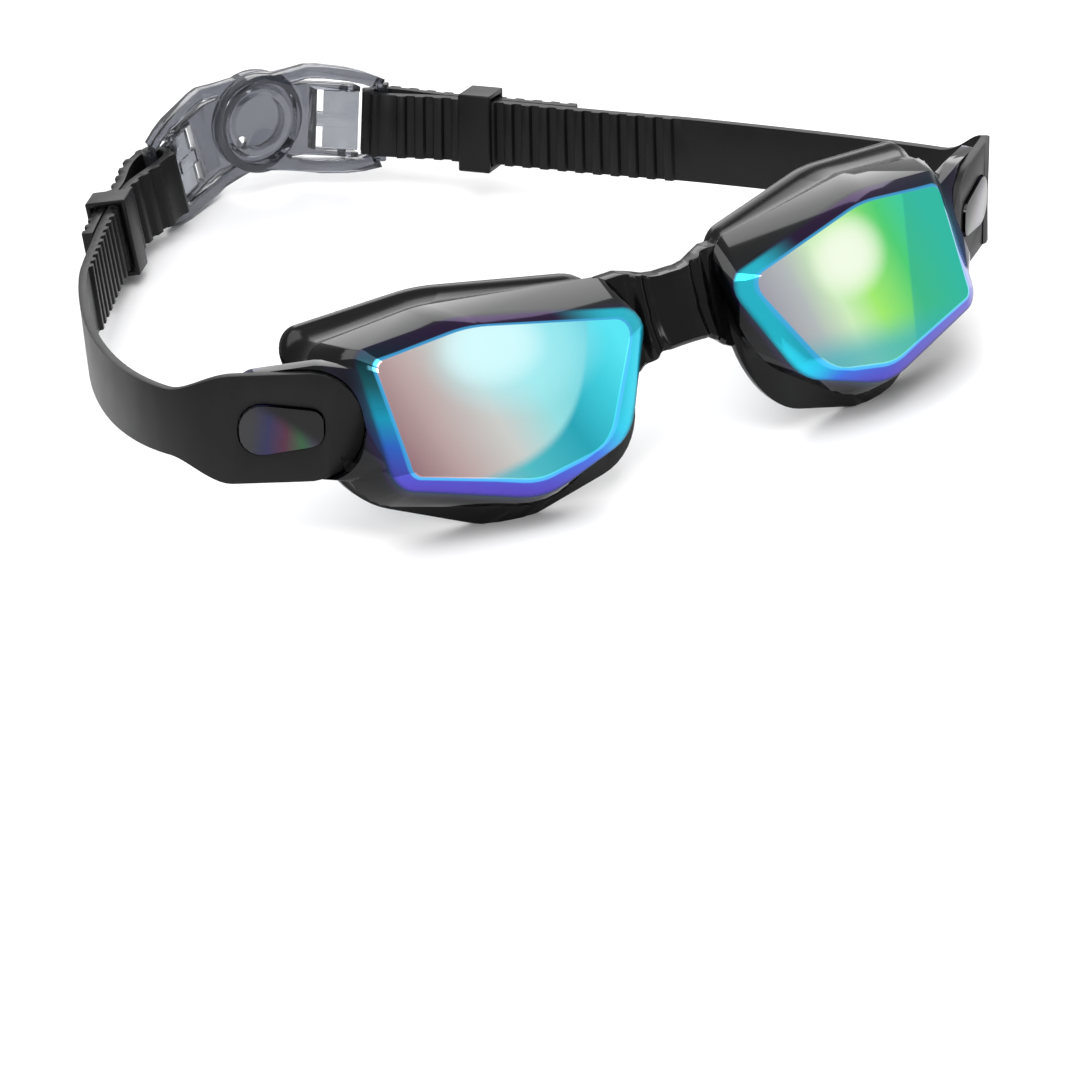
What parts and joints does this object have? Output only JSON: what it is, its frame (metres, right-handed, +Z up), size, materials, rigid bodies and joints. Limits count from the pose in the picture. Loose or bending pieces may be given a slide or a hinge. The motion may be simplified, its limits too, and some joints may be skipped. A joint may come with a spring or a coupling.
{
  "type": "swim goggles",
  "caption": "Swim goggles with mirrored lens shells, soft one-piece seals and nose bridge, ribbed elastic straps, snap clasp with lever adjusters.",
  "frame": {"origin": "middle of the bounding box on the floor plan, on the surface the goggles lie on", "axes": "+X the wearer's left, +Y from the lenses to the clasp, +Z up"},
  "size_m": [0.1776, 0.1582, 0.0362],
  "materials": {
    "lens": "mirror-coated clear polycarbonate with an iridescent blue-green sheen",
    "soft_frame": "glossy soft silicone",
    "strap": "satin silicone, ribbed near the clasp",
    "clasp": "clear smoke-grey moulded plastic",
    "lever": "clear smoke-grey moulded plastic",
    "keeper": "satin silicone"
  },
  "bodies": {
    "front": {"lens_right": "lens", "lens_left": "lens", "soft_frame": "soft_frame", "strap_right": "strap", "strap_left": "strap"},
    "stud_half": {"clasp_stud": "clasp"},
    "socket_half": {"clasp_socket": "clasp"},
    "right_lever": {"lever_right": "lever"},
    "left_lever": {"lever_left": "lever"},
    "right_keeper": {"keeper_right": "keeper"},
    "left_keeper": {"keeper_left": "keeper"}
  },
  "joints": [
    {"name": "clasp_socket_swing", "type": "hinge", "parent": "front", "child": "socket_half", "pos_m": [0.03218, 0.06258, 0.01229], "axis": [0.1087, 0.0714, 0.9915], "range_deg": [0, 65]},
    {"name": "clasp_stud_swing", "type": "hinge", "parent": "front", "child": "stud_half", "pos_m": [-0.01517, 0.06899, 0.00932], "axis": [-0.1805, 0.111, 0.9773], "range_deg": [0, 65]},
    {"name": "lever_right_tilt", "type": "hinge", "parent": "stud_half", "child": "right_lever", "pos_m": [-0.00774, 0.07246, 0.01029], "axis": [-0.1805, 0.111, 0.9773], "range_deg": [0, 30]},
    {"name": "lever_left_tilt", "type": "hinge", "parent": "socket_half", "child": "left_lever", "pos_m": [0.02657, 0.06735, 0.01256], "axis": [0.1087, 0.0714, 0.9915], "range_deg": [0, 30]},
    {"name": "keeper_right_slide", "type": "slide", "parent": "front", "child": "right_keeper", "axis": [0.7357, 0.676, -0.0431], "range_m": [-0.003, 0.003]},
    {"name": "keeper_left_slide", "type": "slide", "parent": "front", "child": "left_keeper", "axis": [-0.5355, 0.843, -0.0502], "range_m": [-0.003, 0.003]}
  ]
}
